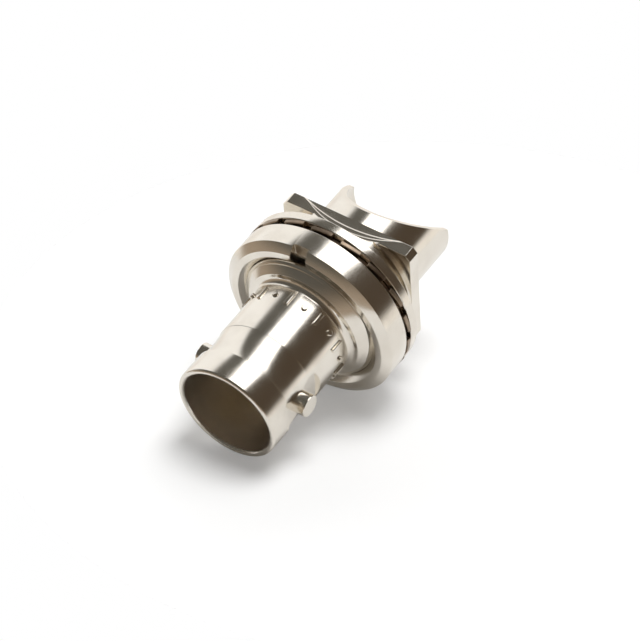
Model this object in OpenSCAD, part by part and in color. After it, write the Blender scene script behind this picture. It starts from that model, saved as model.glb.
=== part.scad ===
// Panel-mounting coaxial jack with bayonet lugs, 75 ohm pattern.
// Y is the connector's axis and points to the rear, so the mouth looks along -Y.
// Z is up. The origin is on the axis, at the flange face that seats on the panel.
// Positions along the axis are named _y. Radii are named _r.

/* [Mouth and barrel] */
// Outer radius of the front collar
collar_r = 4.81; // [4.78:0.01:4.85]
// Length of the front collar
collar_l = 2.61; // [2.5:0.01:2.7]
// Radius of the lip's opening
mouth_r = 4.25; // [4.2:0.01:4.3]
// Radius of the bore that receives the plug's outer fingers
bore_r = 4.05; // [4.05:0.01:4.08]
// Depth of that bore from the mouth
bore_depth = 8.61; // [8.4:0.01:8.8]
// Length of the waisted neck
neck_l = 3.12; // [3:0.01:3.3]
// Smallest radius of the neck
neck_r = 4.55; // [4.5:0.01:4.6]
// Radius at both ends of the neck
neck_edge_r = 4.7; // [4.68:0.01:4.71]
// Radius of the barrel behind the neck
barrel_r = 4.72; // [4.7:0.01:4.75]
// Length of the barrel from the neck to the boss
barrel_l = 5.66; // [5.5:0.01:5.8]

/* [Bayonet lugs] */
// Radius of one round lug
lug_r = 0.99; // [0.96:0.01:1.02]
// Height of a lug over the spot face milled round it
lug_h = 1.05; // [1:0.01:1.1]
// Distance from the mouth to the lugs' centres
lug_inset = 4.36; // [4.2:0.01:4.5]
// Radius of the spot face
lug_relief_r = 2.6; // [2.4:0.1:2.7]
// Depth of the spot face under the collar
lug_relief_depth = 0.36; // [0.3:0.01:0.4]

/* [Threaded boss] */
// Outside radius of the panel thread
thread_r = 6.35; // [6.3:0.01:6.35]
// Length of the boss in front of the flange
boss_l = 6.92; // [6.8:0.01:7]
// Pitch of the thread
thread_pitch = 0.907; // [0.8:0.001:0.95]
// Depth of the thread
thread_depth = 0.45; // [0.4:0.01:0.49]

/* [Flange] */
// Half the flange's width
flange_half_w = 6.4; // [6.38:0.01:6.5]
// Height of the milled flats above and below the axis
flat_z = 5.45; // [5.4:0.01:5.5]
// Flange thickness
flange_t = 1.2; // [1.1:0.05:1.3]
// Radius that the flange's corners are turned to
flange_corner_r = 8.07; // [8:0.01:8.1]

/* [Rear shroud] */
// Inner radius of the shroud
shroud_bore_r = 4.6; // [4.55:0.01:4.65]
// Wall of the shroud
shroud_wall = 0.5; // [0.45:0.01:0.55]
// Length of the shroud behind the flange
shroud_l = 6.65; // [6.5:0.05:6.8]
// How much of the shroud's top the slanted cut leaves
shroud_top_l = 1.55; // [1.4:0.05:1.7]
// Angle of the slanted cut to the axis
slant_angle = 40.5; // [39:0.5:42]

/* [Ring nut] */
// Wall of the nut, from its bore to its rim
nut_wall = 1.9; // [1.8:0.05:1.95]
// Thickness of the nut
nut_t = 2.87; // [2.7:0.01:3]
// Width of the two spanner slots
slot_w = 1.5; // [1.3:0.05:1.7]
// Depth of the spanner slots
slot_depth = 0.85; // [0.7:0.05:1]
// Angle of the slots from the vertical
slot_angle = -3; // [-10:1:10]
// Radial clearance of the nut and the lock washer on the thread
run_gap = 0.05; // [0.03:0.01:0.08]

/* [Washers] */
// How far the lock washer stands proud of the nut's rim
lock_proud = 0.05; // [0.03:0.01:0.08]
// Thickness of the lock washer
lock_t = 0.6; // [0.5:0.05:0.65]
// Number of teeth on its inner edge
lock_teeth = 12; // [10:1:14]
// Thickness of the flat washer
flat_t = 0.9; // [0.8:0.05:1]
// Radial clearance of the flat washer on the thread
flat_gap = 0.1; // [0.08:0.01:0.2]
// Gap for the panel, between the flat washer and the flange
panel_gap = 2.08; // [1.9:0.01:2.2]

/* [Inner parts] */
// Radius of the bore that holds the insulators
seat_r = 3.5; // [3.45:0.01:3.55]
// Length of the front insulator behind the bore's inner lip
front_bush_l = 4.7; // [4.5:0.1:4.9]
// Distance from the mouth to the front of the contact
contact_inset = 5.21; // [5.1:0.01:5.3]
// Outer radius of the contact's socket
contact_r = 1.05; // [1.02:0.01:1.08]
// Radius of the socket's hole, for a 1.35 mm pin
socket_r = 0.69; // [0.68:0.01:0.7]
// Depth of the socket's hole
socket_depth = 5.2; // [4.8:0.1:5.4]
// Width of the socket's four slots
socket_slot_w = 0.2; // [0.18:0.01:0.21]
// Length of the solder cup behind the press ring
cup_l = 2.6; // [2.4:0.1:2.8]
// Thickness of the press ring
ring_t = 1.0; // [0.9:0.05:1.2]
// Radial clearance of the parts inside the shell
inner_gap = 0.02; // [0.01:0.01:0.03]
// How much larger the press ring is than its seat, on the radius
press = 0.01; // [0.005:0.005:0.015]

/* [Hidden] */
$fn = 96;
// Overlap of joined shapes, and how far a cutter reaches past its work
eps = 0.01;
over = 1;
NICKEL = [0.80, 0.77, 0.71];
WHITE = [0.93, 0.92, 0.88];
GOLD = [0.86, 0.68, 0.30];

// Places along the axis, forward of the flange
shoulder_y = -boss_l;
neck_end_y = shoulder_y - barrel_l;
collar_end_y = neck_end_y - neck_l;
mouth_y = collar_end_y - collar_l;
lug_y = mouth_y + lug_inset;
bore_floor_y = mouth_y + bore_depth;
flat_back_y = -panel_gap;
lock_back_y = flat_back_y - flat_t;
nut_back_y = lock_back_y - lock_t;
nut_front_y = nut_back_y - nut_t;

// Places behind it
shroud_end_y = flange_t + shroud_l;
slant_top_y = flange_t + shroud_top_l;
shroud_r = shroud_bore_r + shroud_wall;

// Mouth
lip_r = (collar_r - mouth_r) / 2;
lead_in = 1.5;
collar_chamfer = 0.05;
// The neck is one shallow arc between its two ends
neck_mid_y = (collar_end_y + neck_end_y) / 2;
neck_sag = neck_edge_r - neck_r;
neck_arc_r = (neck_l * neck_l / 4 + neck_sag * neck_sag) / (2 * neck_sag);

// Spot faces and lugs
lug_relief_x = collar_r - lug_relief_depth;
lug_end_x = lug_relief_x + lug_h;
lug_root = 0.4;
lug_chamfer = 0.1;

// Shoulder where the barrel grows into the boss
shoulder_fillet = 0.55;
shoulder_land = 0.23;
boss_chamfer = 0.7;
crest_step = 0.1;
groove_half = thread_depth * tan(30);
groove_first = 1.17;
groove_count = floor((boss_l - groove_first) / thread_pitch);

// Marks on the barrel: plain raised bars and dots in turn
mark_y = shoulder_y - 1.53;
mark_count = 20;
mark_bar_l = 1.3;
mark_bar_w = 0.26;
mark_dot_r = 0.19;
mark_h = 0.12;
mark_root = 0.3;

// Passes of the cutter over each flat: [radius of the arc, front end, depth]
mill_passes = [[10, -0.91, 0], [8.8, -0.6, 0.03], [13.2, -0.09, 0.07]];

// Nut and washers
nut_bore_r = thread_r + run_gap;
nut_r = nut_bore_r + nut_wall;
face_inset = 0.75;
face_w = 0.6;
nut_chamfer = 0.55;
nut_edge = 0.18;
lock_r = nut_r + lock_proud;
tooth_gap_w = 1.5;
tooth_l = 0.6;
washer_edge = 0.1;

// Seats inside the shell, from the front to the rear
lip_back_y = bore_floor_y + 0.8;
lip_bore_r = seat_r - 0.5;
bush_split_y = lip_back_y + front_bush_l;
ring_seat_y = flange_t - 0.3;
ring_back_y = ring_seat_y + ring_t;
ring_bore_r = seat_r - 0.8;

// Contact
contact_front_y = mouth_y + contact_inset;
stop_r = contact_r + 0.55;
stop_t = 1.0;
cup_r = contact_r - 0.1;
cup_wall = 0.35;
cup_depth = 2.4;
cup_open_l = 2.0;
cup_lip = 0.1;
cup_end_y = ring_back_y + cup_l;
finger_l = 3.6;

// Turns a profile drawn as [radius, position] about the connector's axis
module turned() {
    rotate([-90, 0, 0])
        rotate_extrude()
            children();
}

// A cylinder on the axis between two positions
module rod(r, y0, y1) {
    translate([0, y0, 0])
        rotate([-90, 0, 0])
            cylinder(r = r, h = y1 - y0);
}

// Outside of the barrel, the neck and the threaded boss as one turned profile
module barrel_profile() {
    difference() {
        union() {
            // The lip is a full round
            translate([mouth_r + lip_r, mouth_y + lip_r])
                circle(r = lip_r);
            polygon([
                [mouth_r, mouth_y + lip_r],
                [collar_r, mouth_y + lip_r],
                [collar_r, collar_end_y - collar_chamfer],
                [collar_r - collar_chamfer, collar_end_y],
                [neck_edge_r, collar_end_y],
                [neck_edge_r, neck_end_y],
                [barrel_r, neck_end_y + barrel_r - neck_edge_r],
                [barrel_r, shoulder_y - shoulder_fillet],
                [barrel_r + shoulder_fillet + shoulder_land, shoulder_y],
                [thread_r - crest_step, shoulder_y + boss_chamfer],
                [thread_r, shoulder_y + boss_chamfer + crest_step],
                [thread_r, flange_t / 2],
                [0, flange_t / 2],
                [0, bore_floor_y],
                [bore_r, bore_floor_y],
                [bore_r, mouth_y + lip_r + lead_in]
            ]);
        }
        // Waist of the neck
        intersection() {
            translate([neck_r + neck_arc_r, neck_mid_y])
                circle(r = neck_arc_r, $fn = 240);
            translate([neck_r, collar_end_y])
                square([over, neck_l]);
        }
        // Fillet at the shoulder
        translate([barrel_r + shoulder_fillet, shoulder_y - shoulder_fillet])
            circle(r = shoulder_fillet);
        // Thread, drawn as plain grooves at the true pitch
        for (i = [0 : groove_count - 1])
            translate([thread_r, shoulder_y + groove_first + i * thread_pitch])
                polygon([[-thread_depth, 0], [eps, -groove_half], [eps, groove_half]]);
    }
}

// Flange: a turned disc cut to a rectangle
module flange_plate() {
    intersection() {
        rod(flange_corner_r, 0, flange_t);
        translate([-flange_half_w, 0, -flat_z])
            cube([2 * flange_half_w, flange_t, 2 * flat_z]);
    }
}

// Shroud behind the flange, with its rear end cut on the slant
module shroud() {
    difference() {
        rod(shroud_r, flange_t - eps, shroud_end_y);
        translate([0, slant_top_y, shroud_r])
            rotate([-slant_angle, 0, 0])
                translate([-shroud_r - over, -over, 0])
                    cube([2 * (shroud_r + over), 2 * shroud_l, 2 * shroud_r]);
    }
}

// One round lug and its chamfered end, on the +X side
module lug() {
    straight = lug_root + lug_h - lug_chamfer;
    translate([lug_end_x - lug_h - lug_root, lug_y, 0])
        rotate([0, 90, 0]) {
            cylinder(r = lug_r, h = straight);
            translate([0, 0, straight])
                cylinder(r1 = lug_r, r2 = lug_r - lug_chamfer, h = lug_chamfer);
        }
}

// Spot face round one lug, on the +X side
module lug_relief() {
    translate([lug_relief_x, lug_y, 0])
        rotate([0, 90, 0])
            cylinder(r = lug_relief_r, h = over);
}

// Raised bars and dots round the barrel
module barrel_marks() {
    for (i = [0 : mark_count - 1])
        rotate([0, i * 360 / mark_count, 0])
            if (i % 2 == 0)
                translate([-mark_bar_w / 2, mark_y - mark_bar_l / 2, barrel_r - mark_root])
                    cube([mark_bar_w, mark_bar_l, mark_root + mark_h]);
            else
                translate([0, mark_y, barrel_r - mark_root])
                    cylinder(r = mark_dot_r, h = mark_root + mark_h, $fn = 32);
}

// What the cutter takes off above the axis. Each pass runs out in an arc, the
// first in the thread and the others on the flange's edge.
module milled_flat() {
    for (pass = mill_passes)
        translate([0, pass[1] + pass[0], flat_z - pass[2]])
            cylinder(r = pass[0], h = 2 * over, $fn = 240);
}

module shell() {
    color(NICKEL)
        difference() {
            union() {
                difference() {
                    union() {
                        turned() barrel_profile();
                        barrel_marks();
                    }
                    lug_relief();
                    mirror([1, 0, 0]) lug_relief();
                }
                flange_plate();
                shroud();
                lug();
                mirror([1, 0, 0]) lug();
            }
            milled_flat();
            mirror([0, 0, 1]) milled_flat();
            rod(lip_bore_r, bore_floor_y - eps, lip_back_y + eps);
            rod(seat_r, lip_back_y, ring_seat_y + eps);
            rod(shroud_bore_r, ring_seat_y, shroud_end_y + over);
        }
}

module ring_nut() {
    face_r = nut_r - face_inset;
    dish_r = face_r - face_w;
    color(NICKEL)
        rotate([0, slot_angle, 0])
            difference() {
                turned()
                    polygon([
                        [dish_r, nut_front_y],
                        [face_r, nut_front_y],
                        [nut_r, nut_front_y + nut_chamfer],
                        [nut_r, nut_back_y - nut_edge],
                        [nut_r - nut_edge, nut_back_y],
                        [nut_bore_r + nut_edge, nut_back_y],
                        [nut_bore_r, nut_back_y - nut_edge],
                        [nut_bore_r, nut_front_y + dish_r - nut_bore_r]
                    ]);
                translate([-slot_w / 2, nut_front_y - over, -nut_r - over])
                    cube([slot_w, over + slot_depth, 2 * (nut_r + over)]);
            }
}

// A flat ring with broken outer edges, between two positions
module washer(bore, outer, y0, y1) {
    turned()
        polygon([
            [bore, y0],
            [outer - washer_edge, y0],
            [outer, y0 + washer_edge],
            [outer, y1 - washer_edge],
            [outer - washer_edge, y1],
            [bore, y1]
        ]);
}

module lock_washer() {
    color(NICKEL)
        difference() {
            washer(nut_bore_r, lock_r, nut_back_y, lock_back_y);
            // Gaps between the teeth of the inner edge
            for (i = [0 : lock_teeth - 1])
                rotate([0, (i + 0.5) * 360 / lock_teeth, 0])
                    translate([-tooth_gap_w / 2, nut_back_y - over, 0])
                        cube([tooth_gap_w, lock_t + 2 * over, nut_bore_r + tooth_l]);
        }
}

module flat_washer() {
    color(NICKEL)
        washer(thread_r + flat_gap, nut_r, lock_back_y, flat_back_y);
}

module front_insulator() {
    flank_r = seat_r - inner_gap;
    color(WHITE)
        difference() {
            union() {
                rod(flank_r, lip_back_y, bush_split_y);
                rod(lip_bore_r - inner_gap, bore_floor_y, lip_back_y + eps);
            }
            rod(contact_r + inner_gap, bore_floor_y - eps, bush_split_y + eps);
        }
}

module centre_contact() {
    color(GOLD)
        difference() {
            union() {
                rod(contact_r, contact_front_y, bush_split_y + eps);
                rod(stop_r, bush_split_y, bush_split_y + stop_t);
                rod(cup_r, bush_split_y, cup_end_y);
            }
            rod(socket_r, contact_front_y - over, contact_front_y + socket_depth);
            for (a = [45, 135])
                rotate([0, a, 0])
                    translate([-socket_slot_w / 2, contact_front_y - over, -contact_r - over])
                        cube([socket_slot_w, over + finger_l, 2 * (contact_r + over)]);
            rod(cup_r - cup_wall, cup_end_y - cup_depth, cup_end_y + over);
            // Open side of the solder cup
            translate([-cup_r - over, cup_end_y - cup_open_l, cup_lip])
                cube([2 * (cup_r + over), cup_open_l + over, cup_r + over]);
        }
}

module rear_insulator() {
    color(WHITE)
        difference() {
            rod(seat_r - inner_gap, bush_split_y, ring_seat_y);
            rod(stop_r + inner_gap, bush_split_y - eps, bush_split_y + stop_t);
            rod(cup_r + inner_gap, bush_split_y, ring_seat_y + eps);
        }
}

module press_ring() {
    color(NICKEL)
        difference() {
            rod(shroud_bore_r + press, ring_seat_y, ring_back_y);
            rod(ring_bore_r, ring_seat_y - eps, ring_back_y + eps);
        }
}

shell();
ring_nut();
lock_washer();
flat_washer();
front_insulator();
centre_contact();
rear_insulator();
press_ring();
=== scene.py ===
import math

import bmesh
import bpy
from mathutils import Matrix, Vector


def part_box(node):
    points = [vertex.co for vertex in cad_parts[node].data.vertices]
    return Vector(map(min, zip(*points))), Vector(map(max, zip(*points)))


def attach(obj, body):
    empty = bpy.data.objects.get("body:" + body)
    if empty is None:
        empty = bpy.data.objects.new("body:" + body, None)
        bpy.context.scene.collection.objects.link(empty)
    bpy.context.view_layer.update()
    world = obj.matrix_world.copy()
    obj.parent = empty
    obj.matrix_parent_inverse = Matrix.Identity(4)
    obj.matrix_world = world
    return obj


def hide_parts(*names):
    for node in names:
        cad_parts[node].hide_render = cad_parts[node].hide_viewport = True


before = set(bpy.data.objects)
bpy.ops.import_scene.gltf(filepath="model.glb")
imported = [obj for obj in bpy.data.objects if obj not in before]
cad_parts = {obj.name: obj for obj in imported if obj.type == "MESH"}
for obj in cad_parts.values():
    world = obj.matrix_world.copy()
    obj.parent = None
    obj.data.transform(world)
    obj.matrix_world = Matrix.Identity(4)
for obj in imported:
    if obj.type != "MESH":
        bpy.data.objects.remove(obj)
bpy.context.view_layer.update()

bl_info = {
    "name": "Panel Coaxial Jack",
    "version": (1, 0, 0),
    "blender": (4, 5, 0),
    "location": "View3D > Sidebar > Jack",
    "description": "Dresses a panel-mounting coaxial jack in nickel plate, with its nut and washers",
    "category": "Add Mesh",
}

MM = 0.001
TURN_STEPS = 384
ROUND_STEP = math.radians(18)
SMOOTH_BELOW = math.radians(16)
SECTION_TURN = math.pi
# Outline planes of a prism: drawn out along the jack's axis, or along X
ALONG_AXIS = Matrix(((1, 0, 0, 0), (0, 0, 1, 0), (0, 1, 0, 0), (0, 0, 0, 1)))
ACROSS = Matrix(((0, 0, 1, 0), (1, 0, 0, 0), (0, 1, 0, 0), (0, 0, 0, 1)))


# ---------------------------------------------------------------------------
# Sizes and colours
# ---------------------------------------------------------------------------

def node_mm(node, axis, side):
    """One face of a node's box in millimetres: axis 0 to 2, side 0 low and 1 high."""
    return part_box(node)[side][axis] / MM


def mm_property(name, value, description):
    """A float property that holds millimetres."""
    return bpy.props.FloatProperty(name=name, description=description, default=value, precision=3)


def angle_property(name, degrees, description):
    """An angle property with its default in degrees."""
    return bpy.props.FloatProperty(
        name=name, description=description, default=math.radians(degrees), subtype="ANGLE")


def pass_property(name, values):
    """One pass of the milling cutter over a flat."""
    return bpy.props.FloatVectorProperty(
        name=name, description="Radius of its arc, its front end and its depth, in millimetres",
        default=values, precision=3)


def colour_property(name, colour, description):
    """A colour property."""
    return bpy.props.FloatVectorProperty(
        name=name, description=description, default=colour, subtype="COLOR", min=0, max=1)


class JackShellSizes(bpy.types.PropertyGroup):
    """Sizes of the one-piece shell, in millimetres"""
    mouth_y: mm_property("Mouth", node_mm("shell", 1, 0), "Front edge of the rounded lip")
    collar_r: mm_property("Collar radius", 4.81, "Outer radius of the front collar")
    mouth_r: mm_property("Mouth radius", 4.25, "Opening inside the lip")
    bore_r: mm_property("Bore radius", 4.05, "Bore that receives the plug")
    bore_floor_y: mm_property("Bore floor", -9.7, "Floor of the bore")
    collar_end_y: mm_property("Collar end", -15.7, "Rear edge of the front collar")
    neck_end_y: mm_property("Neck end", -12.58, "Rear edge of the waisted neck")
    neck_r: mm_property("Neck radius", 4.55, "Smallest radius of the neck")
    neck_edge_r: mm_property("Neck end radius", 4.7, "Radius at both ends of the neck")
    barrel_r: mm_property("Barrel radius", 4.72, "Barrel behind the neck")
    shoulder_y: mm_property("Shoulder", -6.92, "Front face of the threaded boss")
    shoulder_r: mm_property("Shoulder radius", 5.5, "Boss radius at its front face")
    shoulder_fillet: mm_property("Shoulder fillet", 0.55, "Fillet between barrel and boss")
    thread_r: mm_property("Thread radius", 6.35, "Radius over the thread's crests")
    boss_chamfer: mm_property("Boss chamfer", 0.7, "Length of the chamfer at the boss's front")
    groove_y: mm_property("Groove place", -5.75, "First full groove, above the axis")
    thread_pitch: mm_property("Thread pitch", 0.907, "Advance of the thread in one turn")
    thread_depth: mm_property("Thread depth", 0.45, "Depth of the thread's groove")
    lug_r: mm_property("Lug radius", 0.99, "Radius of a bayonet lug")
    lug_y: mm_property("Lug place", -13.95, "Centre of the lugs along the axis")
    lug_span: mm_property("Lug span", 11.0, "Distance over both lugs")
    relief_r: mm_property("Spot face radius", 2.6, "Spot face round a lug")
    relief_x: mm_property("Spot face depth", 4.45, "Distance of a spot face from the axis")
    flange_half_w: mm_property("Flange half width", node_mm("shell", 0, 1), "Half the flange's width")
    flange_half_h: mm_property("Flange half height", 5.45, "Height of the milled flats over the axis")
    flange_t: mm_property("Flange thickness", 1.2, "Thickness of the flange")
    flange_corner_r: mm_property("Corner radius", 8.07, "Radius the flange's corners are turned to")
    shroud_r: mm_property("Shroud radius", 5.1, "Outer radius of the rear shroud")
    shroud_bore_r: mm_property("Shroud bore", 4.6, "Inner radius of the rear shroud")
    shroud_end_y: mm_property("Shroud end", node_mm("shell", 1, 1), "Rear end of the shroud")
    lead_in: mm_property("Lead-in", 1.5, "Length of the cone from the mouth to the bore")
    bush_r: mm_property("Bush seat radius", 3.5, "Seat of both bushes")
    bush_front_r: mm_property("Bush front radius", 3.0, "Hole in front of that seat")
    bush_seat_l: mm_property("Bush seat length", 4.7, "Length of the front bush in its seat")
    ring_bore_r: mm_property("Press ring bore", 2.7, "Hole of the press ring")
    slant_top_y: mm_property("Slant start", 2.75, "Where the slanted cut leaves the shroud's top")
    slant: angle_property("Slant", 40.5, "Angle of the slanted cut to the axis")
    boss_pass: pass_property("First pass", (10.0, -0.91, 0.0))
    front_pass: pass_property("Second pass", (8.8, -0.6, 0.03))
    last_pass: pass_property("Third pass", (13.2, -0.09, 0.07))
    cutter_corner: mm_property("Cutter corner", 0.5, "Corner radius of the milling cutter")


class JackNutSizes(bpy.types.PropertyGroup):
    """Sizes of the ring nut and the washers, in millimetres"""
    nut_r: mm_property("Nut radius", 8.3, "Outside radius of the nut")
    bore_r: mm_property("Nut bore", 6.4, "Bore of the nut and of the lock washer")
    face_r: mm_property("Face radius", 7.55, "Outer edge of the nut's front face")
    dish_r: mm_property("Countersink radius", 6.95, "Mouth of the nut's countersink")
    rear_chamfer: mm_property("Rear chamfer", 0.18, "Chamfers of the nut's rear face")
    chamfer: mm_property("Chamfer", 0.55, "Length of the front chamfer along the axis")
    slot_w: mm_property("Slot width", 1.5, "Width of the spanner slots")
    slot_depth: mm_property("Slot depth", 0.85, "Depth of the spanner slots")
    slot_turn: angle_property("Slot angle", -3.0, "Turn of the slots from the vertical")
    tooth_count: bpy.props.IntProperty(
        name="Teeth", description="Teeth round the lock washer", default=18, min=6)
    tooth_root_r: mm_property("Tooth root", 7.65, "Radius at the roots of the washer's teeth")
    tooth_w: mm_property("Tooth width", 1.95, "Width of a tooth")
    tooth_proud: mm_property("Tooth overhang", 0.03, "How far the teeth stand out over the nut")
    tooth_twist: angle_property("Tooth twist", 6.0, "Twist of each tooth out of the washer's plane")


class JackContactSizes(bpy.types.PropertyGroup):
    """Sizes of the centre contact, in millimetres"""
    pin_r: mm_property("Socket radius", 1.05, "Outer radius of the socket")
    socket_r: mm_property("Socket hole", 0.69, "Radius of the socket's hole")
    socket_depth: mm_property("Socket depth", 5.2, "Depth of the socket's hole")
    slot_w: mm_property("Slit width", 0.2, "Width of the slits between the fingers")
    finger_l: mm_property("Finger length", 3.6, "Length of the fingers")
    stop_r: mm_property("Stop radius", 1.6, "Radius of the shoulder between the bushes")
    stop_t: mm_property("Stop thickness", 1.0, "Thickness of that shoulder")
    cup_r: mm_property("Cup radius", 0.95, "Outer radius of the solder cup")
    cup_bore_r: mm_property("Cup bore", 0.6, "Radius of the solder cup's hole")
    cup_depth: mm_property("Cup depth", 2.4, "Depth of the solder cup")
    cup_open_l: mm_property("Cup opening", 2.0, "Length of the cup's open side")


class JackMarkSizes(bpy.types.PropertyGroup):
    """Plain raised bars and dots round the barrel, in millimetres"""
    place_y: mm_property("Place", -8.45, "Middle of the marks along the axis")
    pairs: bpy.props.IntProperty(
        name="Pairs", description="Pairs of one bar and one dot", default=10, min=1)
    bar_l: mm_property("Bar length", 1.3, "Length of a bar")
    bar_w: mm_property("Bar width", 0.34, "Width of a bar")
    dot_r: mm_property("Dot radius", 0.26, "Radius of a dot")
    height: mm_property("Height", 0.2, "Height of the marks over the barrel")


class JackFinish(bpy.types.PropertyGroup):
    """Colours of the finishes, and of the painted shade in the bore"""
    nickel: colour_property("Nickel", (0.87, 0.825, 0.745), "Bright nickel plate")
    nickel_dark: colour_property("Nickel in hollows", (0.62, 0.55, 0.46), "Plate in corners and roots")
    # Painted shade down the bore; on the lock washer the same colour is a random film tone
    bore_shade_and_film: colour_property("Nickel in the bore", (0.62, 0.48, 0.35), "Thin plate down the bore")
    washer: colour_property("Lock washer", (0.27, 0.21, 0.155), "Dull plate of the lock washer")
    gold: colour_property("Gold", (0.83, 0.58, 0.23), "Gold plate of the contact")
    bush: colour_property("Insulator", (0.84, 0.83, 0.79), "White fluoroplastic")


class JackStage(bpy.types.PropertyGroup):
    """Camera, floor and light"""
    azimuth: angle_property("Azimuth", 37.289, "Camera's turn round the vertical")
    elevation: angle_property("Elevation", 49.366, "Camera's height angle")
    roll: angle_property("Roll", -4.483, "Camera's roll")
    aim: bpy.props.FloatVectorProperty(
        name="Aim", description="Point in the middle of the view, in millimetres",
        default=(3.412, -9.010, 4.667))
    distance: mm_property("Distance", 271.03, "Camera's distance from the aim point")
    lens: bpy.props.FloatProperty(name="Lens", description="Focal length", default=185.33)
    floor_r: mm_property("Floor radius", 40.0, "Radius of the floor")
    floor_middle: bpy.props.FloatVectorProperty(
        name="Floor middle", description="Point that the floor's middle lies under, in millimetres",
        default=(8, 4, 0))
    side_lean: angle_property("Side lean", -5.0, "How far the jack is rolled on the floor")


# ---------------------------------------------------------------------------
# Meshes: all are built in millimetres, and go to metres when a piece is placed
# ---------------------------------------------------------------------------

def rounded(corners, step=ROUND_STEP):
    """Points of a closed outline. Each corner is (radius, y, rounding)."""
    points = []
    count = len(corners)
    for i, (r, y, fillet) in enumerate(corners):
        here = Vector((r, y))
        before = Vector(corners[i - 1][:2]) - here
        after = Vector(corners[(i + 1) % count][:2]) - here
        if fillet <= 0:
            points.append((r, y))
            continue
        a, b = before.normalized(), after.normalized()
        opening = a.angle(b)
        reach = fillet / math.tan(opening / 2)
        middle = here + (a + b).normalized() * (fillet / math.sin(opening / 2))
        start, end = here + a * reach - middle, here + b * reach - middle
        turn = math.pi - opening
        steps = max(2, math.ceil(turn / step))
        side = 1 if start.cross(end) > 0 else -1
        for k in range(steps + 1):
            angle = side * turn * k / steps
            cos, sin = math.cos(angle), math.sin(angle)
            points.append((middle.x + start.x * cos - start.y * sin,
                           middle.y + start.x * sin + start.y * cos))
    return points


def new_object(name, mesh_data):
    """Links a new object with this bmesh, made into a mesh with its faces outwards."""
    bmesh.ops.remove_doubles(mesh_data, verts=mesh_data.verts, dist=1e-5)
    bmesh.ops.recalc_face_normals(mesh_data, faces=mesh_data.faces)
    mesh = bpy.data.meshes.new(name)
    mesh_data.to_mesh(mesh)
    mesh_data.free()
    obj = bpy.data.objects.new(name, mesh)
    bpy.context.scene.collection.objects.link(obj)
    return obj


def turned(name, outline, steps=TURN_STEPS):
    """A ring turned about the Y axis from a closed outline of (radius, y) points."""
    bm = bmesh.new()
    rings = []
    for r, y in outline:
        ring = []
        for i in range(steps):
            angle = 2 * math.pi * i / steps
            ring.append(bm.verts.new((r * math.sin(angle), y, r * math.cos(angle))))
        rings.append(ring)
    for a, b in zip(rings, rings[1:] + rings[:1]):
        for i in range(steps):
            j = (i + 1) % steps
            bm.faces.new((a[i], a[j], b[j], b[i]))
    return new_object(name, bm)


def prism(name, outline, low, high, place=Matrix()):
    """A straight solid from (x, y) points between two heights along Z, then placed by a matrix."""
    bm = bmesh.new()
    ends = [[bm.verts.new(place @ Vector((x, y, z))) for x, y in outline] for z in (low, high)]
    bm.faces.new(ends[0])
    bm.faces.new(ends[1])
    count = len(outline)
    for i in range(count):
        j = (i + 1) % count
        bm.faces.new((ends[0][i], ends[0][j], ends[1][j], ends[1][i]))
    return new_object(name, bm)


def circle_points(r, steps, centre=(0, 0)):
    """Points of a circle."""
    return [(centre[0] + r * math.cos(2 * math.pi * i / steps),
             centre[1] + r * math.sin(2 * math.pi * i / steps)) for i in range(steps)]


def block(name, low, high, place=Matrix()):
    """A rectangular solid between two corners, placed by a matrix."""
    outline = [(low[0], low[1]), (high[0], low[1]), (high[0], high[1]), (low[0], high[1])]
    return prism(name, outline, low[2], high[2], place)


def apply_modifiers(obj):
    """Turns an object's modifiers into its mesh."""
    graph = bpy.context.evaluated_depsgraph_get()
    mesh = bpy.data.meshes.new_from_object(obj.evaluated_get(graph))
    obj.modifiers.clear()
    old = obj.data
    obj.data = mesh
    bpy.data.meshes.remove(old)
    return obj


def combine(obj, other, operation):
    """Adds or cuts another solid, which is used up."""
    modifier = obj.modifiers.new("Combine", "BOOLEAN")
    modifier.operation = operation
    modifier.solver = "MANIFOLD"
    modifier.object = other
    apply_modifiers(obj)
    bpy.data.objects.remove(other)
    return obj


def add(obj, other):
    return combine(obj, other, "UNION")


def cut(obj, other):
    return combine(obj, other, "DIFFERENCE")


def break_edges(obj, width, over=40):
    """Rounds every edge that turns by more than some degrees."""
    modifier = obj.modifiers.new("Edges", "BEVEL")
    modifier.width = width
    modifier.segments = 2
    modifier.limit_method = "ANGLE"
    modifier.angle_limit = math.radians(over)
    modifier.use_clamp_overlap = True
    return apply_modifiers(obj)


def place_piece(obj, node, body, material, replaced=True):
    """Brings a finished solid to metres, shades it and gives it its finish and body."""
    mesh = obj.data
    bm = bmesh.new()
    bm.from_mesh(mesh)
    bmesh.ops.remove_doubles(bm, verts=bm.verts, dist=2e-4)
    bmesh.ops.dissolve_degenerate(bm, edges=bm.edges, dist=2e-4)
    bm.to_mesh(mesh)
    bm.free()
    mesh.transform(Matrix.Scale(MM, 4))
    mesh.polygons.foreach_set("use_smooth", [True] * len(mesh.polygons))
    mesh.set_sharp_from_angle(angle=SMOOTH_BELOW)
    weighted = obj.modifiers.new("Weighted", "WEIGHTED_NORMAL")
    weighted.keep_sharp = True
    apply_modifiers(obj)
    obj.data.materials.clear()
    obj.data.materials.append(material)
    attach(obj, body)
    if replaced:
        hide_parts(node)
    return obj


def join(first, others):
    """Joins solids into one object."""
    bm = bmesh.new()
    for obj in [first, *others]:
        bm.from_mesh(obj.data)
    bm.to_mesh(first.data)
    bm.free()
    for obj in others:
        bpy.data.objects.remove(obj)
    return first


# ---------------------------------------------------------------------------
# Shader maths
# ---------------------------------------------------------------------------

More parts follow.
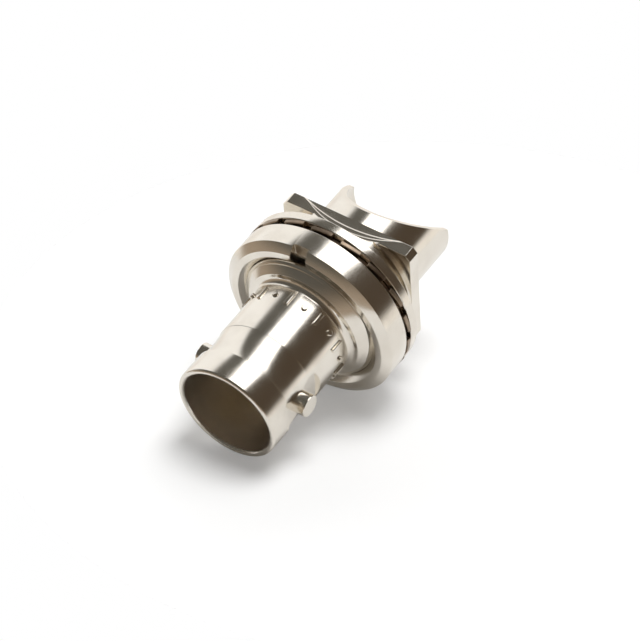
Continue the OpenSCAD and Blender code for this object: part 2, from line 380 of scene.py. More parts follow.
class Sock:
    """A shader socket that takes part in Python expressions."""

    def __init__(self, tree, socket):
        self.tree = tree
        self.socket = socket

    def _math(self, operation, *values):
        return self.tree.node("ShaderNodeMath", {"operation": operation}, *values)

    def __add__(self, other):
        return self._math("ADD", self, other)

    __radd__ = __add__

    def __sub__(self, other):
        return self._math("SUBTRACT", self, other)

    def __rsub__(self, other):
        return self._math("SUBTRACT", other, self)

    def __mul__(self, other):
        return self._math("MULTIPLY", self, other)

    __rmul__ = __mul__

    def __truediv__(self, other):
        return self._math("DIVIDE", self, other)

    def __pow__(self, other):
        return self._math("POWER", self, other)

    def __neg__(self):
        return self._math("MULTIPLY", self, -1.0)

    def least(self, other):
        return self._math("MINIMUM", self, other)

    def most(self, other):
        return self._math("MAXIMUM", self, other)

    def between(self, low, high):
        """0 below low, 1 above high and a smooth step between."""
        return self.tree.node(
            "ShaderNodeMapRange", {"interpolation_type": "SMOOTHSTEP"}, self, low, high, 0.0, 1.0)


class Tree:
    """Makes nodes in one node tree, of a material, a world or a geometry group."""

    def __init__(self, node_tree):
        self.nodes = node_tree.nodes
        self.links = node_tree.links
        self.nodes.clear()
        self.given = None

    def node(self, kind, settings, *values, out=0, **named):
        """Adds a node: its settings first, then its sockets by order or by name."""
        made = self.nodes.new(kind)
        for key, value in settings.items():
            setattr(made, key, value)
        given = list(enumerate(values)) + [(k.replace("_", " "), v) for k, v in named.items()]
        for key, value in given:
            if value is None:
                continue
            if isinstance(value, Sock):
                self.links.new(value.socket, made.inputs[key])
            else:
                made.inputs[key].default_value = value
        return Sock(self, made.outputs[out]) if len(made.outputs) else None

    def take(self, name):
        """One of a geometry group's own inputs."""
        if self.given is None:
            self.given = self.nodes.new("NodeGroupInput")
        return Sock(self, self.given.outputs[name])

    def mix(self, factor, a, b):
        """Blends two colours."""
        made = self.nodes.new("ShaderNodeMix")
        made.data_type = "RGBA"
        for index, value in ((0, factor), (6, a), (7, b)):
            if isinstance(value, Sock):
                self.links.new(value.socket, made.inputs[index])
            else:
                made.inputs[index].default_value = value if index == 0 else (*value[:3], 1)
        return Sock(self, made.outputs[2])

    def dot(self, vector, direction):
        """Dot product of a vector socket with a fixed direction."""
        return self.node(
            "ShaderNodeVectorMath", {"operation": "DOT_PRODUCT"}, vector, tuple(direction), out="Value")

    def part(self, vector, axis):
        """One coordinate of a vector socket."""
        return self.node("ShaderNodeSeparateXYZ", {}, vector, out=axis)

    def coordinates(self):
        """Object coordinates in millimetres."""
        raw = self.node("ShaderNodeTexCoord", {}, out="Object")
        return self.node(
            "ShaderNodeVectorMath", {"operation": "MULTIPLY"}, raw, (1 / MM, 1 / MM, 1 / MM))

    def noise(self, where, scale, detail=2.0, roughness=0.5):
        return self.node("ShaderNodeTexNoise", {}, Vector=where, Scale=scale, Detail=detail,
                         Roughness=roughness)


def surface_material(name):
    """A new material and its tree."""
    material = bpy.data.materials.new(name)
    material.use_nodes = True
    return material, Tree(material.node_tree)


def principled(tree, **sockets):
    """Ends a material with one Principled shader."""
    shader = tree.node("ShaderNodeBsdfPrincipled", {}, **sockets)
    tree.node("ShaderNodeOutputMaterial", {}, shader)


def nickel_plate(name, grain=1.0, turned_marks=0.0, shade_bore=False):
    """Bright nickel with a faint tumbled grain and a duller film in patches.

    A piece with a shaded bore gets painted shade down its bore: a browner colour, and a rougher plate.
    """
    finish = bpy.context.scene.jack_finish
    material, tree = surface_material(name)
    where = tree.coordinates()
    film = tree.noise(where, 0.35, 3.0)
    fine = tree.noise(where, 7.0, 3.0, 0.6)
    coarse = tree.noise(where, 1.6, 2.0)
    relief = fine * 0.6 + coarse * 0.4
    if turned_marks:
        along = tree.node("ShaderNodeCombineXYZ", {}, 0.0, tree.part(where, "Y"), 0.0)
        relief = relief + tree.noise(along, 9.0, 2.0) * turned_marks
    normal = tree.node("ShaderNodeBump", {}, Strength=1.0, Distance=0.0000038 * grain, Height=relief)
    colour = tree.mix(film.between(0.35, 0.75) * 0.25, finish.nickel, finish.nickel_dark)
    rough = 0.13 + 0.06 * film.between(0.3, 0.7) + 0.05 * fine
    if shade_bore:
        x, y, z = (tree.part(where, axis) for axis in "XYZ")
        radius = (x * x + z * z) ** 0.5
        # Painted shade: the bore's walls are mixed towards a browner colour and made rougher
        painted_bore_mask = radius.between(4.32, 4.22) * y.between(-9.0, -10.0)
        colour = tree.mix(painted_bore_mask * 0.25, colour, finish.bore_shade_and_film)
        rough = rough + painted_bore_mask * 0.18
    principled(tree, Base_Color=colour, Metallic=1.0, Roughness=rough, Normal=normal)
    return material


def dull_nickel():
    """Thin, dull plate on the stamped lock washer."""
    finish = bpy.context.scene.jack_finish
    material, tree = surface_material("dull_nickel")
    where = tree.coordinates()
    film = tree.noise(where, 1.1, 3.0)
    fine = tree.noise(where, 8.0, 3.0, 0.6)
    colour = tree.mix(film.between(0.35, 0.7) * 0.25, finish.washer, finish.bore_shade_and_film)
    normal = tree.node("ShaderNodeBump", {}, Strength=1.0, Distance=0.000006, Height=fine)
    principled(tree, Base_Color=colour, Metallic=1.0, Roughness=0.26 + 0.12 * fine, Normal=normal)
    return material


def gold_plate():
    """Gold plate on the contact."""
    finish = bpy.context.scene.jack_finish
    material, tree = surface_material("gold_plate")
    where = tree.coordinates()
    fine = tree.noise(where, 6.0, 2.0)
    colour = tree.mix(fine.between(0.4, 0.7) * 0.3, finish.gold, (0.70, 0.45, 0.15))
    normal = tree.node("ShaderNodeBump", {}, Strength=1.0, Distance=0.000002, Height=fine)
    principled(tree, Base_Color=colour, Metallic=1.0, Roughness=0.18 + 0.1 * fine, Normal=normal)
    return material


def white_bush():
    """White fluoroplastic, faintly clouded."""
    finish = bpy.context.scene.jack_finish
    material, tree = surface_material("white_insulator")
    where = tree.coordinates()
    cloud = tree.noise(where, 1.2, 3.0)
    fine = tree.noise(where, 9.0, 2.0)
    colour = tree.mix(cloud.between(0.35, 0.7) * 0.35, finish.bush, (0.74, 0.72, 0.66))
    normal = tree.node("ShaderNodeBump", {}, Strength=1.0, Distance=0.000006, Height=fine)
    principled(tree, Base_Color=colour, Roughness=0.42 + 0.12 * fine, Normal=normal,
               Subsurface_Weight=0.1, Subsurface_Radius=(0.0006, 0.0006, 0.0005))
    return material


def finish_named(name):
    """A shared material, made the first time it is asked for."""
    found = bpy.data.materials.get(name)
    if found:
        return found
    makers = {
        "bright_nickel": lambda: nickel_plate("bright_nickel"),
        "turned_nickel": lambda: nickel_plate("turned_nickel", 1.2, 0.8),
        "shell_nickel": lambda: nickel_plate("shell_nickel", shade_bore=True),
        "dull_nickel": dull_nickel,
        "gold_plate": gold_plate,
        "white_insulator": white_bush,
    }
    return makers[name]()


# ---------------------------------------------------------------------------
# Copies in a ring, with Geometry Nodes
# ---------------------------------------------------------------------------

def geometry_group(name, inputs):
    """A new geometry group with these named inputs after its geometry, and its tree."""
    group = bpy.data.node_groups.new(name, "GeometryNodeTree")
    face = group.interface
    face.new_socket("Geometry", in_out="INPUT", socket_type="NodeSocketGeometry")
    for title, kind in inputs:
        face.new_socket(title, in_out="INPUT", socket_type="NodeSocket" + kind)
    face.new_socket("Geometry", in_out="OUTPUT", socket_type="NodeSocketGeometry")
    return group, Tree(group)


def ring_group():
    """Turns copies of the incoming mesh about the Y axis."""
    found = bpy.data.node_groups.get("Copies in a ring")
    if found:
        return found
    group, tree = geometry_group(
        "Copies in a ring", (("Count", "Int"), ("Phase", "Float"), ("Material", "Material")))
    count = tree.take("Count")
    points = tree.node("GeometryNodePoints", {}, count)
    step = tree.node("ShaderNodeMath", {"operation": "DIVIDE"}, 2 * math.pi, count)
    angle = tree.node("GeometryNodeInputIndex", {}) * step + tree.take("Phase")
    turn = tree.node("ShaderNodeCombineXYZ", {}, Y=angle)
    copies = tree.node("GeometryNodeInstanceOnPoints", {}, Points=points,
                       Instance=tree.take("Geometry"), Rotation=turn)
    real = tree.node("GeometryNodeRealizeInstances", {}, copies)
    painted = tree.node("GeometryNodeSetMaterial", {}, real, Material=tree.take("Material"))
    tree.node("NodeGroupOutput", {}, painted)
    return group


def groove_group():
    """Sweeps the section of a V groove along a helix about the Y axis, with a run-out."""
    found = bpy.data.node_groups.get("Thread groove")
    if found:
        return found
    group, tree = geometry_group("Thread groove", (
        ("Radius", "Float"), ("Pitch", "Float"), ("Depth", "Float"), ("Turns", "Float"),
        ("Run-out", "Float"), ("Material", "Material")))
    depth, turns = tree.take("Depth"), tree.take("Turns")
    centre_r = tree.take("Radius") - depth * 0.1
    helix = tree.node("GeometryNodeCurveSpiral", {}, 160, turns, centre_r, centre_r,
                      tree.take("Pitch") * turns)
    upright = tree.node("GeometryNodeSetCurveNormal", {"mode": "Z_UP"}, helix)
    place = tree.node("GeometryNodeSplineParameter", {}, out="Factor")
    fade = ((1.0 - place) * turns / tree.take("Run-out")).least(1.0).most(0.02)
    tapered = tree.node("GeometryNodeSetCurveRadius", {}, upright, Radius=fade)
    section = tree.node("GeometryNodeCurvePrimitiveCircle", {"mode": "RADIUS"}, 3,
                        Radius=depth * 0.9)
    inwards = tree.node("GeometryNodeTransform", {}, section, Rotation=(0, 0, SECTION_TURN))
    swept = tree.node("GeometryNodeCurveToMesh", {}, tapered, Profile_Curve=inwards,
                      Fill_Caps=True)
    laid = tree.node("GeometryNodeTransform", {}, swept, Rotation=(-math.pi / 2, 0, 0))
    real = tree.node("GeometryNodeRealizeInstances", {}, laid)
    painted = tree.node("GeometryNodeSetMaterial", {}, real, Material=tree.take("Material"))
    tree.node("NodeGroupOutput", {}, painted)
    return group


def grown(obj, group, values):
    """Runs a geometry group on an object with values for its named inputs, as a plain mesh."""
    modifier = obj.modifiers.new("Grown", "NODES")
    modifier.node_group = group
    for item in group.interface.items_tree:
        if item.in_out == "INPUT" and item.name in values:
            modifier[item.identifier] = values[item.name]
    return apply_modifiers(obj)


# ---------------------------------------------------------------------------
# The shell
# ---------------------------------------------------------------------------

def neck_arc(s):
    """The waisted neck: one shallow arc between its two ends."""
    half = (s.neck_end_y - s.collar_end_y) / 2
    middle = (s.neck_end_y + s.collar_end_y) / 2
    sag = s.neck_edge_r - s.neck_r
    radius = (half * half + sag * sag) / (2 * sag)
    steps = 16
    points = []
    for i in range(steps + 1):
        y = -half + 2 * half * i / steps
        points.append((s.neck_r + radius - math.sqrt(radius * radius - y * y), middle + y, 0))
    return points


def shoulder_arc(s):
    """Concave fillet between the barrel and the boss's front face."""
    steps = 6
    points = []
    for i in range(steps + 1):
        angle = math.pi / 2 * i / steps
        points.append((s.barrel_r + s.shoulder_fillet * (1 - math.cos(angle)),
                       s.shoulder_y - s.shoulder_fillet * (1 - math.sin(angle)), 0))
    return points


def core_outline(s):
    """Section of the shell without its thread, flange and lugs."""
    lip = (s.collar_r - s.mouth_r) / 2 - 0.001
    root_r = s.barrel_r + s.shoulder_fillet
    lip_back_y = node_mm("front_insulator", 1, 1) - s.bush_seat_l
    ring_y = node_mm("press_ring", 1, 0)
    return rounded([
        (s.mouth_r, s.mouth_y, lip),
        (s.collar_r, s.mouth_y, lip),
        (s.collar_r, s.collar_end_y, 0.05),
        *neck_arc(s),
        (s.barrel_r, s.neck_end_y + 0.03, 0),
        *shoulder_arc(s),
        (root_r, s.flange_t / 2, 0),
        (s.shroud_r, s.flange_t / 2 + 0.05, 0),
        (s.shroud_r, s.shroud_end_y, 0.05),
        (s.shroud_bore_r, s.shroud_end_y, 0.05),
        (s.shroud_bore_r, ring_y, 0),
        (s.bush_r, ring_y, 0),
        (s.bush_r, lip_back_y, 0),
        (s.bush_front_r, lip_back_y, 0),
        (s.bush_front_r, s.bore_floor_y, 0.06),
        (s.bore_r, s.bore_floor_y, 0.1),
        (s.bore_r, s.mouth_y + lip + s.lead_in, 1.0),
        (s.mouth_r, s.mouth_y + lip + 0.001, 0),
    ])


def threaded_boss(s):
    """The boss as a sleeve over the barrel: chamfer, helical groove and the first flats."""
    full_y = s.shoulder_y + s.boss_chamfer
    sleeve = turned("boss", rounded([
        (s.barrel_r + 0.4, s.shoulder_y, 0),
        (s.shoulder_r, s.shoulder_y, 0.04),
        (s.thread_r - 0.1, full_y, 0.03),
        (s.thread_r, full_y + 0.1, 0.03),
        (s.thread_r, s.flange_t / 2, 0),
        (s.barrel_r + 0.4, s.flange_t / 2, 0),
    ]))
    start = s.groove_y - 2 * s.thread_pitch
    turns = (-0.35 - start) / s.thread_pitch
    groove = new_object("groove", bmesh.new())
    grown(groove, groove_group(), {
        "Radius": s.thread_r, "Pitch": s.thread_pitch, "Depth": s.thread_depth,
        "Turns": turns, "Run-out": 0.35, "Material": finish_named("turned_nickel")})
    groove.data.transform(Matrix.Translation((0, start, 0)) @ Matrix.Rotation(-math.pi / 2, 4, "Y"))
    cut(sleeve, groove)
    mill(sleeve, s, s.boss_pass)
    return sleeve


def mill(obj, s, cutter_pass):
    """One pass of a round-cornered cutter over the flats above and below the axis."""
    radius, front, depth = cutter_pass
    low = s.flange_half_h - depth
    corner = s.cutter_corner
    for side in (1, -1):
        disc = turned("cutter", rounded([(0, low, 0), (radius, low, corner), (radius, low + 3, 0),
                                         (0, low + 3, 0)], math.radians(9)), 720)
        disc.data.transform(Matrix.Translation((0, front + radius, 0))
                            @ Matrix.Rotation(side * math.pi / 2, 4, "X"))
        cut(obj, disc)


def flange_plate(s):
    """The rectangular flange, its corners turned round, its edges broken."""
    corner_z = math.sqrt(s.flange_corner_r ** 2 - s.flange_half_w ** 2)
    first = math.atan2(corner_z, s.flange_half_w)
    last = math.asin(s.flange_half_h / s.flange_corner_r)
    steps = 8
    quarter = [first + (last - first) * i / steps for i in range(steps + 1)]
    angles = (quarter + [math.pi - a for a in reversed(quarter)]
              + [math.pi + a for a in quarter] + [2 * math.pi - a for a in reversed(quarter)])
    outline = [(s.flange_corner_r * math.cos(a), s.flange_corner_r * math.sin(a)) for a in angles]
    plate = prism("plate", outline, 0, s.flange_t, ALONG_AXIS)
    break_edges(plate, 0.05, 12)
    return cut(plate, prism("hole", circle_points((s.shroud_r + s.shroud_bore_r) / 2, TURN_STEPS),
                            -1, s.flange_t + 1, ALONG_AXIS))


def on_side(solid, side):
    """Leaves a solid at +X, or mirrors it to -X."""
    if side < 0:
        solid.data.transform(Matrix.Scale(-1, 4, (1, 0, 0)))
        solid.data.flip_normals()
    return solid


def lug(s, side):
    """One round lug with a broken end edge, its root inside the wall."""
    pin = prism("lug", circle_points(s.lug_r, 96, (s.lug_y, 0)), s.bore_r + 0.15,
                s.lug_span / 2, ACROSS)
    return on_side(break_edges(pin, 0.09), side)


def spot_face(s, side):
    """Cutter for the spot face milled round a lug."""
    face = prism("spot", circle_points(s.relief_r, 240, (s.lug_y, 0)), s.relief_x, s.relief_x + 1,
                 ACROSS)
    return on_side(face, side)


def shell_solid(s):
    """The whole one-piece shell."""
    shell = turned("jack_shell", core_outline(s))
    for side in (1, -1):
        cut(shell, spot_face(s, side))
        add(shell, lug(s, side))
    add(shell, threaded_boss(s))
    add(shell, flange_plate(s))
    mill(shell, s, s.front_pass)
    mill(shell, s, s.last_pass)
    tilt = Matrix.Translation((0, s.slant_top_y, s.shroud_r)) @ Matrix.Rotation(-s.slant, 4, "X")
    reach = s.shroud_r + 1
    return cut(shell, block("slant", (-reach, -1, 0), (reach, 2 * s.shroud_end_y, 2 * reach), tilt))


class JACK_OT_shell(bpy.types.Operator):
    """Make the turned and milled shell"""
    bl_idname = "jack.shell"
    bl_label = "Shell"

    def execute(self, context):
        shell = shell_solid(context.scene.jack_shell)
        place_piece(shell, "shell", "jack", finish_named("shell_nickel"))
        return {"FINISHED"}


class JACK_OT_marks(bpy.types.Operator):
    """Make the plain raised bars and dots round the barrel"""
    bl_idname = "jack.marks"
    bl_label = "Barrel marks"

    def execute(self, context):
        s, marks = context.scene.jack_shell, context.scene.jack_marks
        nickel = finish_named("bright_nickel")
        top = s.barrel_r + marks.height
        half = marks.bar_l / 2
        bar = block("barrel_marks", (-marks.bar_w / 2, marks.place_y - half, s.barrel_r - 0.15),
                    (marks.bar_w / 2, marks.place_y + half, top))
        break_edges(bar, 0.05)
        step = 2 * math.pi / marks.pairs
        grown(bar, ring_group(), {"Count": marks.pairs, "Phase": 0.0, "Material": nickel})
        dot = prism("dots", circle_points(marks.dot_r, 32, (0, marks.place_y)), s.barrel_r - 0.15, top)
        break_edges(dot, 0.05)
        grown(dot, ring_group(), {"Count": marks.pairs, "Phase": step / 2, "Material": nickel})
        place_piece(join(bar, [dot]), "shell", "jack", nickel, replaced=False)
        return {"FINISHED"}


# ---------------------------------------------------------------------------
# Nut and washers
# ---------------------------------------------------------------------------

class JACK_OT_nut(bpy.types.Operator):
    """Make the slotted ring nut"""
    bl_idname = "jack.nut"
    bl_label = "Ring nut"

    def execute(self, context):
        n = context.scene.jack_nut
        front, back = node_mm("ring_nut", 1, 0), node_mm("ring_nut", 1, 1)
        nut = turned("slotted_nut", rounded([
            (n.dish_r, front, 0.04),
            (n.face_r, front, 0.05),
            (n.nut_r, front + n.chamfer, 0.06),
            (n.nut_r, back - n.rear_chamfer, 0.05),
            (n.nut_r - n.rear_chamfer, back, 0.05),
            (n.bore_r + n.rear_chamfer, back, 0),
            (n.bore_r, back - n.rear_chamfer, 0),
            (n.bore_r, front + n.dish_r - n.bore_r, 0.04),
        ]))
        half, flare = n.slot_w / 2, 0.05
        floor = front + n.slot_depth
        reach = n.nut_r + 1
        # The slot's section in (x, y), with its mouth flared and its floor corners rounded
        outline = [(-half - flare - 0.5, front - 0.5), (half + flare + 0.5, front - 0.5),
                   (half, front + flare), (half, floor - 0.06), (half - 0.06, floor),
                   (-half + 0.06, floor), (-half, floor - 0.06), (-half, front + flare)]
        cut(nut, prism("slot", outline, -reach, reach, Matrix.Rotation(n.slot_turn, 4, "Y")))
        place_piece(nut, "ring_nut", "nut", finish_named("bright_nickel"))
        return {"FINISHED"}


def tooth_blank(n, thick):
    """One tooth of the lock washer on the middle plane, its end on the washer's outer circle."""
    outer_r = n.nut_r + n.tooth_proud
    steps = 6
    half = math.asin(n.tooth_w / 2 / outer_r)
    angles = [half - 2 * half * i / steps for i in range(steps + 1)]
    end = [(outer_r * math.sin(angle), outer_r * math.cos(angle)) for angle in angles]
    root = n.tooth_root_r - 0.15
    root_half = n.tooth_w * 0.42
    outline = [(-root_half, root), (root_half, root), *end]
    return break_edges(prism("tooth", outline, -thick / 2, thick / 2, ALONG_AXIS), 0.05)


class JACK_OT_washers(bpy.types.Operator):
    """Make the toothed lock washer and the flat washer"""
    bl_idname = "jack.washers"
    bl_label = "Washers"

    def execute(self, context):
        n = context.scene.jack_nut
        dull = finish_named("dull_nickel")
        front, back = node_mm("lock_washer", 1, 0), node_mm("lock_washer", 1, 1)
        thick = back - front
        inset = thick * 0.1
        lock = turned("toothed_washer", rounded([
            (n.bore_r, front + inset, 0),
            (n.tooth_root_r, front + inset, 0.03),
            (n.tooth_root_r, back - inset, 0.03),
            (n.bore_r, back - inset, 0),
        ]))
        middle = Vector((0, (front + back) / 2, 0))
        tooth = tooth_blank(n, thick * 0.62)
        tooth.data.transform(Matrix.Translation(middle) @ Matrix.Rotation(n.tooth_twist, 4, "Z"))
        grown(tooth, ring_group(), {"Count": n.tooth_count, "Phase": 0.0, "Material": dull})
        place_piece(join(lock, [tooth]), "lock_washer", "washers", dull)
        front, back = node_mm("flat_washer", 1, 0), node_mm("flat_washer", 1, 1)
        flat = turned("flat_washer_ring", rounded([
            (n.bore_r + 0.05, front, 0.05),
            (n.nut_r, front, 0.14),
            (n.nut_r, back, 0.1),
            (n.bore_r + 0.05, back, 0.05),
        ]))
        place_piece(flat, "flat_washer", "washers", finish_named("bright_nickel"))
        return {"FINISHED"}


# ---------------------------------------------------------------------------
# Inner parts
# ---------------------------------------------------------------------------

class JACK_OT_bushes(bpy.types.Operator):
    """Make the two white insulating bushes"""
    bl_idname = "jack.bushes"
    bl_label = "Insulating bushes"

    def execute(self, context):
        s, c = context.scene.jack_shell, context.scene.jack_contact
        white = finish_named("white_insulator")
        split = node_mm("front_insulator", 1, 1)
        lip_back_y = split - s.bush_seat_l
        gap = 0.02
        front = turned("front_bush", rounded([
            (c.pin_r + gap, split, 0),
            (c.pin_r + gap, s.bore_floor_y, 0.05),
            (s.bush_front_r - gap, s.bore_floor_y, 0.04),
            (s.bush_front_r - gap, lip_back_y, 0),
            (s.bush_r - gap, lip_back_y, 0.04),
            (s.bush_r - gap, split, 0.04),
        ]), 192)
        place_piece(front, "front_insulator", "jack", white)
        back = node_mm("rear_insulator", 1, 1)
        rear = turned("rear_bush", rounded([
            (s.bush_r - gap, split, 0.04),
            (s.bush_r - gap, back, 0.04),
            (c.cup_r + gap, back, 0.08),
            (c.cup_r + gap, split + c.stop_t, 0),
            (c.stop_r + gap, split + c.stop_t, 0),
            (c.stop_r + gap, split, 0),
        ]), 192)
        place_piece(rear, "rear_insulator", "jack", white)
        return {"FINISHED"}


class JACK_OT_contact(bpy.types.Operator):
    """Make the slotted centre contact with its solder cup"""
    bl_idname = "jack.contact"
    bl_label = "Centre contact"

    def execute(self, context):
        c = context.scene.jack_contact
        front, back = node_mm("centre_contact", 1, 0), node_mm("centre_contact", 1, 1)
        split = node_mm("front_insulator", 1, 1)
        cup_floor = back - c.cup_depth
        pin = turned("socket_contact", rounded([
            (0, front + c.socket_depth + 0.3, 0),
            (c.socket_r, front + c.socket_depth, 0),
            (c.socket_r, front, 0.08),
            (c.pin_r, front, 0.12),
            (c.pin_r, split, 0),
            (c.stop_r, split, 0.03),
            (c.stop_r, split + c.stop_t, 0.03),
            (c.cup_r, split + c.stop_t, 0),
            (c.cup_r, back, 0.05),
            (c.cup_bore_r, back, 0.05),
            (c.cup_bore_r, cup_floor, 0.05),
            (0, cup_floor, 0),
        ]), 144)
        reach = c.pin_r + 1
        half = c.slot_w / 2
        for degrees in (45, 135):
            cut(pin, block("slit", (-half, front - 1, -reach), (half, front + c.finger_l, reach),
                           Matrix.Rotation(math.radians(degrees), 4, "Y")))
        cut(pin, block("scoop", (-reach, back - c.cup_open_l, 0.1), (reach, back + 1, reach)))
        place_piece(pin, "centre_contact", "jack", finish_named("gold_plate"))
        return {"FINISHED"}


class JACK_OT_press_ring(bpy.types.Operator):
    """Make the ring pressed in behind the bushes"""
    bl_idname = "jack.press_ring"
    bl_label = "Press ring"

    def execute(self, context):
        s = context.scene.jack_shell
        front, back = node_mm("press_ring", 1, 0), node_mm("press_ring", 1, 1)
        ring = turned("pressed_ring", rounded([
            (s.ring_bore_r, front, 0.05),
            (s.shroud_bore_r, front, 0.05),
            (s.shroud_bore_r, back, 0.1),
            (s.ring_bore_r, back, 0.1),
        ]), 256)
        place_piece(ring, "press_ring", "jack", finish_named("turned_nickel"))
        return {"FINISHED"}


# ---------------------------------------------------------------------------
# Stage
# ---------------------------------------------------------------------------

def floor_normal(context):
    """The floor that the lip and the nut's front edge rest on: its upward side and its height."""
    s, n = context.scene.jack_shell, context.scene.jack_nut
    lip = (s.collar_r - s.mouth_r) / 2
    nut_y = node_mm("ring_nut", 1, 0) + n.chamfer
    tilt = math.atan2(n.nut_r - s.collar_r, nut_y - s.mouth_y - lip)
    up = Vector((0, math.sin(tilt), math.cos(tilt)))
    height = up.y * nut_y - up.z * n.nut_r
    return Matrix.Rotation(context.scene.jack_stage.side_lean, 3, "Y") @ up, height


def studio(tree, up):
    """Colours of the room by direction: floor, white wall, softbox, brown front and dark room."""
    look = tree.node("ShaderNodeTexCoord", {}, out="Generated")
    height = tree.dot(look, up)
    box = Vector((0.11, 0.52, 0.85)).normalized()
    box_side = Vector((1, 0, 0)).cross(box).normalized()
    box_across = box.cross(box_side)
    across, along = tree.dot(look, box_across), tree.dot(look, box_side)
    box_on = (across.most(-across).between(0.32, 0.26) * along.most(-along).between(0.42, 0.34)
              * tree.dot(look, box).between(0.0, 0.2))
    wall = Vector((-0.94, 0.342, 0))
    wall_on = (tree.dot(look, wall).between(0.30, 0.42) * height.between(0.80, 0.72)
               * tree.dot(look, (0, 1, 0)).between(-0.15, 0.1))
    near = tree.dot(look, (0, -1, 0)).between(0.0, 0.3)
    floor_on = (height + near * 0.42).between(0.06, -0.10)
    dark = tree.mix(tree.dot(look, (1, 0, 0)).between(-0.2, 0.8), (0.10, 0.094, 0.082),
                    (0.075, 0.055, 0.038))
    front_on = near * height.between(0.20, -0.25)
    brown_front, white_wall = (0.36, 0.29, 0.22), (1.02, 1.01, 1.0)
    softbox, pale_floor = (2.3, 2.3, 2.3), (0.93, 0.89, 0.84)
    colour = tree.mix(front_on, dark, brown_front)
    colour = tree.mix(wall_on, colour, white_wall)
    colour = tree.mix(box_on, colour, softbox)
    return tree.mix(floor_on, colour, pale_floor)


def light_room(up):
    """The world: white to the camera, the studio to everything else."""
    world = bpy.data.worlds.new("studio")
    bpy.context.scene.world = world
    world.use_nodes = True
    tree = Tree(world.node_tree)
    path = tree.node("ShaderNodeLightPath", {}, out="Is Camera Ray")
    colour = tree.mix(path, studio(tree, up), (1, 1, 1))
    shade = tree.node("ShaderNodeBackground", {}, colour, 1.0)
    tree.node("ShaderNodeOutputWorld", {}, shade)


def lay_floor(stage, up, height):
    """A round pale floor that keeps the shadow and is clear from below."""
    material, tree = surface_material("floor")
    path = tree.nodes.new("ShaderNodeLightPath")
    at_camera = Sock(tree, path.outputs["Is Camera Ray"])
    seen = (at_camera + Sock(tree, path.outputs["Is Glossy Ray"])
            + Sock(tree, path.outputs["Is Transmission Ray"])).least(1.0)
    matt = tree.node("ShaderNodeBsdfDiffuse", {}, (0.80, 0.80, 0.80, 1))
    glow = tree.node("ShaderNodeEmission", {}, (0.97, 0.985, 1.0, 1), seen * 0.05 + at_camera * 0.19)
    lit = tree.node("ShaderNodeAddShader", {}, matt, glow)
    clear = tree.node("ShaderNodeBsdfTransparent", {})
    under = tree.node("ShaderNodeNewGeometry", {}, out="Backfacing")
    tree.node("ShaderNodeOutputMaterial", {}, tree.node("ShaderNodeMixShader", {}, under, lit, clear))
    bm = bmesh.new()
    bmesh.ops.create_circle(bm, cap_ends=True, segments=128, radius=stage.floor_r)
    floor = new_object("floor", bm)
    turn = Vector((0, 0, 1)).rotation_difference(up).to_matrix().to_4x4()
    middle = Vector(stage.floor_middle)
    foot = middle - up * (middle.dot(up) - height)
    floor.data.transform(Matrix.Scale(MM, 4) @ Matrix.Translation(foot) @ turn)
    if floor.data.polygons[0].normal.dot(up) < 0:
        floor.data.flip_normals()
    floor.data.materials.append(material)


def hang_lamp(name, towards, distance, size, watts, aim):
    """A round lamp, unseen itself, that looks at a point. Distances in millimetres."""
    data = bpy.data.lights.new(name, "AREA")
    data.shape = "DISK"
    data.size = size * MM
    data.energy = watts
    lamp = bpy.data.objects.new(name, data)
    bpy.context.scene.collection.objects.link(lamp)
    back = Vector(towards).normalized()
    lamp.location = (Vector(aim) + back * distance) * MM
    lamp.rotation_euler = back.to_track_quat("Z", "Y").to_euler()
    lamp.visible_glossy = False
    lamp.visible_camera = False


def set_camera(stage):
    """The camera, placed by its angles and its distance from the aim point."""
    az, el, roll = stage.azimuth, stage.elevation, stage.roll
    back = Vector((math.cos(el) * math.sin(az), -math.cos(el) * math.cos(az), math.sin(el)))
    level = Vector((math.cos(az), math.sin(az), 0))
    upright = back.cross(level)
    right = level * math.cos(roll) + upright * math.sin(roll)
    up = back.cross(right)
    data = bpy.data.cameras.new("camera")
    data.lens = stage.lens
    data.clip_start = 0.01
    data.clip_end = 10
    camera = bpy.data.objects.new("camera", data)
    bpy.context.scene.collection.objects.link(camera)
    place = Matrix((right, up, back)).transposed().to_4x4()
    place.translation = (Vector(stage.aim) + back * stage.distance) * MM
    camera.matrix_world = place
    bpy.context.scene.camera = camera


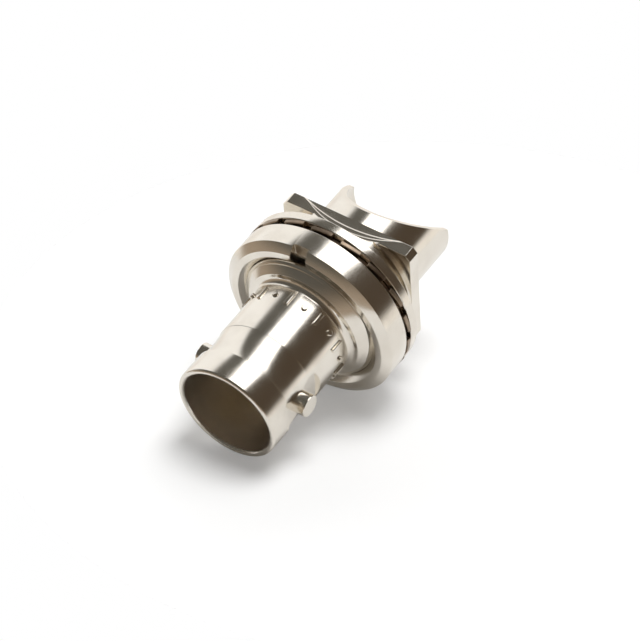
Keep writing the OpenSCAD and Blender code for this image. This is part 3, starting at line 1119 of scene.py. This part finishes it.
class JACK_OT_stage(bpy.types.Operator):
    """Set the camera, the floor and the light"""
    bl_idname = "jack.stage"
    bl_label = "Stage"

    def execute(self, context):
        stage = context.scene.jack_stage
        context.scene.view_settings.view_transform = "Standard"
        up, height = floor_normal(context)
        set_camera(stage)
        light_room(up)
        lay_floor(stage, up, height)
        hang_lamp("key", towards=(0.02, 0.34, 0.96), distance=300, size=170, watts=0.5,
                  aim=(0, -7, 0))
        return {"FINISHED"}


# ---------------------------------------------------------------------------
# Panel and run
# ---------------------------------------------------------------------------

PIECES = (JACK_OT_shell, JACK_OT_marks, JACK_OT_nut, JACK_OT_washers, JACK_OT_bushes,
          JACK_OT_contact, JACK_OT_press_ring, JACK_OT_stage)


class JACK_PT_panel(bpy.types.Panel):
    """Lists the jack's pieces and their sizes"""
    bl_label = "Coaxial jack"
    bl_idname = "JACK_PT_panel"
    bl_space_type = "VIEW_3D"
    bl_region_type = "UI"
    bl_category = "Jack"

    def draw(self, context):
        layout = self.layout
        for piece in PIECES:
            layout.operator(piece.bl_idname)
        for name, group in SETTINGS:
            box = layout.box()
            box.label(text=group.__doc__)
            for field in group.__annotations__:
                box.prop(getattr(context.scene, name), field)


SETTINGS = (("jack_shell", JackShellSizes), ("jack_nut", JackNutSizes), ("jack_marks", JackMarkSizes),
            ("jack_contact", JackContactSizes), ("jack_finish", JackFinish), ("jack_stage", JackStage))


def register():
    for name, group in SETTINGS:
        bpy.utils.register_class(group)
        setattr(bpy.types.Scene, name, bpy.props.PointerProperty(type=group))
    for piece in (*PIECES, JACK_PT_panel):
        bpy.utils.register_class(piece)


def unregister():
    for piece in (JACK_PT_panel, *reversed(PIECES)):
        bpy.utils.unregister_class(piece)
    for name, group in reversed(SETTINGS):
        delattr(bpy.types.Scene, name)
        bpy.utils.unregister_class(group)


def main():
    """Makes every piece and the stage."""
    register()
    jack = bpy.ops.jack
    for make in (jack.shell, jack.marks, jack.nut, jack.washers, jack.bushes, jack.contact,
                 jack.press_ring, jack.stage):
        make()


if __name__ == "__main__":
    main()
